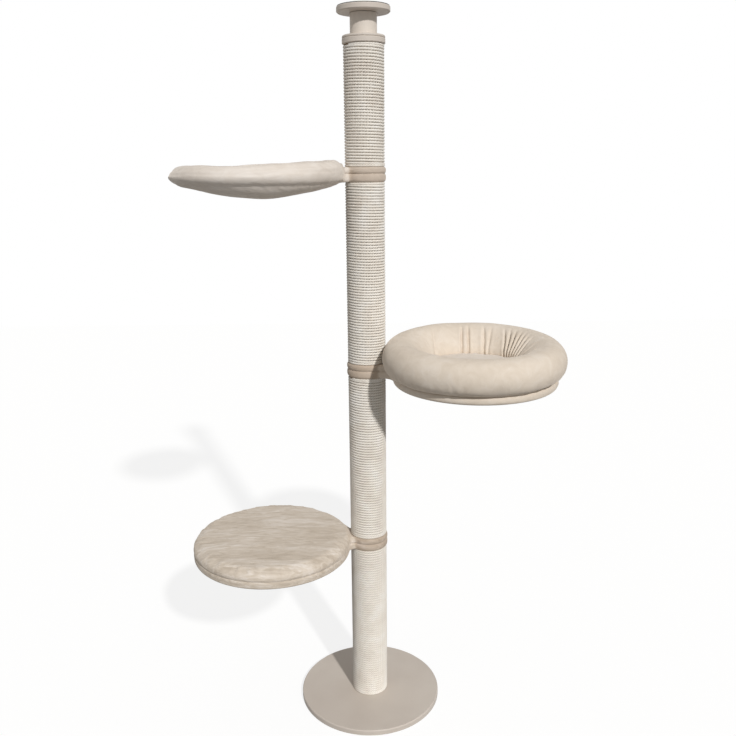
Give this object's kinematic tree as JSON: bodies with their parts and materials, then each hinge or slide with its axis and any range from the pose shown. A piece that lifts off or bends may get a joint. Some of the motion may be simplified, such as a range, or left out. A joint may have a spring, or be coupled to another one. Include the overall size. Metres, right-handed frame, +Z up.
{
  "type": "floor-to-ceiling cat tree",
  "caption": "Rope-wound post on a round base, with a hammock, a bolstered bed and a padded platform that swivel on it, and a screw-out ceiling plate.",
  "frame": {"origin": "on the post's centreline, at the underside of the base plate", "axes": "+Z up along the post; +X to the right and +Y to the back as seen from the front"},
  "size_m": [1.2565, 0.6519, 2.355],
  "materials": {
    "painted_board": "matte taupe lacquer on MDF",
    "card_tube": "spiral-wound card",
    "rope": "undyed twisted cotton-sisal rope, 8 mm",
    "plywood": "sanded, unfinished",
    "plush": "short-pile beige plush, brushed",
    "foam": "soft open-cell foam",
    "steel": "zinc plated",
    "grip_pad": "matte anti-slip"
  },
  "bodies": {
    "post": {"base_plate": "painted_board", "base_bolt": "steel", "base_washer": "steel", "lower_tube": "card_tube", "middle_tube": "card_tube", "upper_tube": "card_tube", "top_tube": "card_tube", "lower_rope": "rope", "middle_rope": "rope", "upper_rope": "rope", "top_rope": "rope", "lower_tube_plugs": "plywood", "middle_tube_plugs": "plywood", "upper_tube_plugs": "plywood", "top_tube_plug": "plywood", "tee_nuts": "steel", "joint_studs": "steel", "collar_ring": "painted_board", "collar_cap": "painted_board", "nut_block": "plywood", "spindle_nut": "steel"},
    "platform": {"platform_board": "plywood", "platform_eye_block": "plywood", "platform_foam": "foam", "platform_cover_top": "plush", "platform_cover_base": "plush"},
    "bed": {"bed_board": "plywood", "bed_eye_block": "plywood", "bed_cover_top": "plush", "bed_cover_base": "plush", "bed_bolster": "plush", "bed_cushion": "plush"},
    "hammock": {"hammock_hoop": "plywood", "hammock_eye_blocks": "plywood", "hammock_rim_foam": "foam", "hammock_lining": "plush", "hammock_sling": "plush"},
    "ceiling_head": {"ceiling_plate": "painted_board", "ceiling_pad": "grip_pad", "pivot_pin": "steel", "thrust_washer": "steel"},
    "screw_neck": {"neck": "painted_board", "neck_spindle": "steel"}
  },
  "joints": [
    {"name": "platform_swivel", "type": "hinge", "parent": "post", "child": "platform", "pos_m": [0, 0, 0.6177], "axis": [0, 0, 1], "continuous": true},
    {"name": "bed_swivel", "type": "hinge", "parent": "post", "child": "bed", "pos_m": [0, 0, 1.2366], "axis": [0, 0, 1], "continuous": true},
    {"name": "hammock_swivel", "type": "hinge", "parent": "post", "child": "hammock", "pos_m": [0, 0, 1.8651], "axis": [0, 0, 1], "continuous": true},
    {"name": "plate_lift", "type": "slide", "parent": "post", "child": "ceiling_head", "axis": [0, 0, 1], "range_m": [-0.0401, 0.0501]},
    {"name": "neck_turn", "type": "hinge", "parent": "ceiling_head", "child": "screw_neck", "pos_m": [0, 0, 2.3], "axis": [0, 0, 1], "range_deg": [-3600, 4500]}
  ],
  "couplings": [
    {"joint": "plate_lift", "follows": "neck_turn", "m_per_rad": 0.00063662}
  ]
}
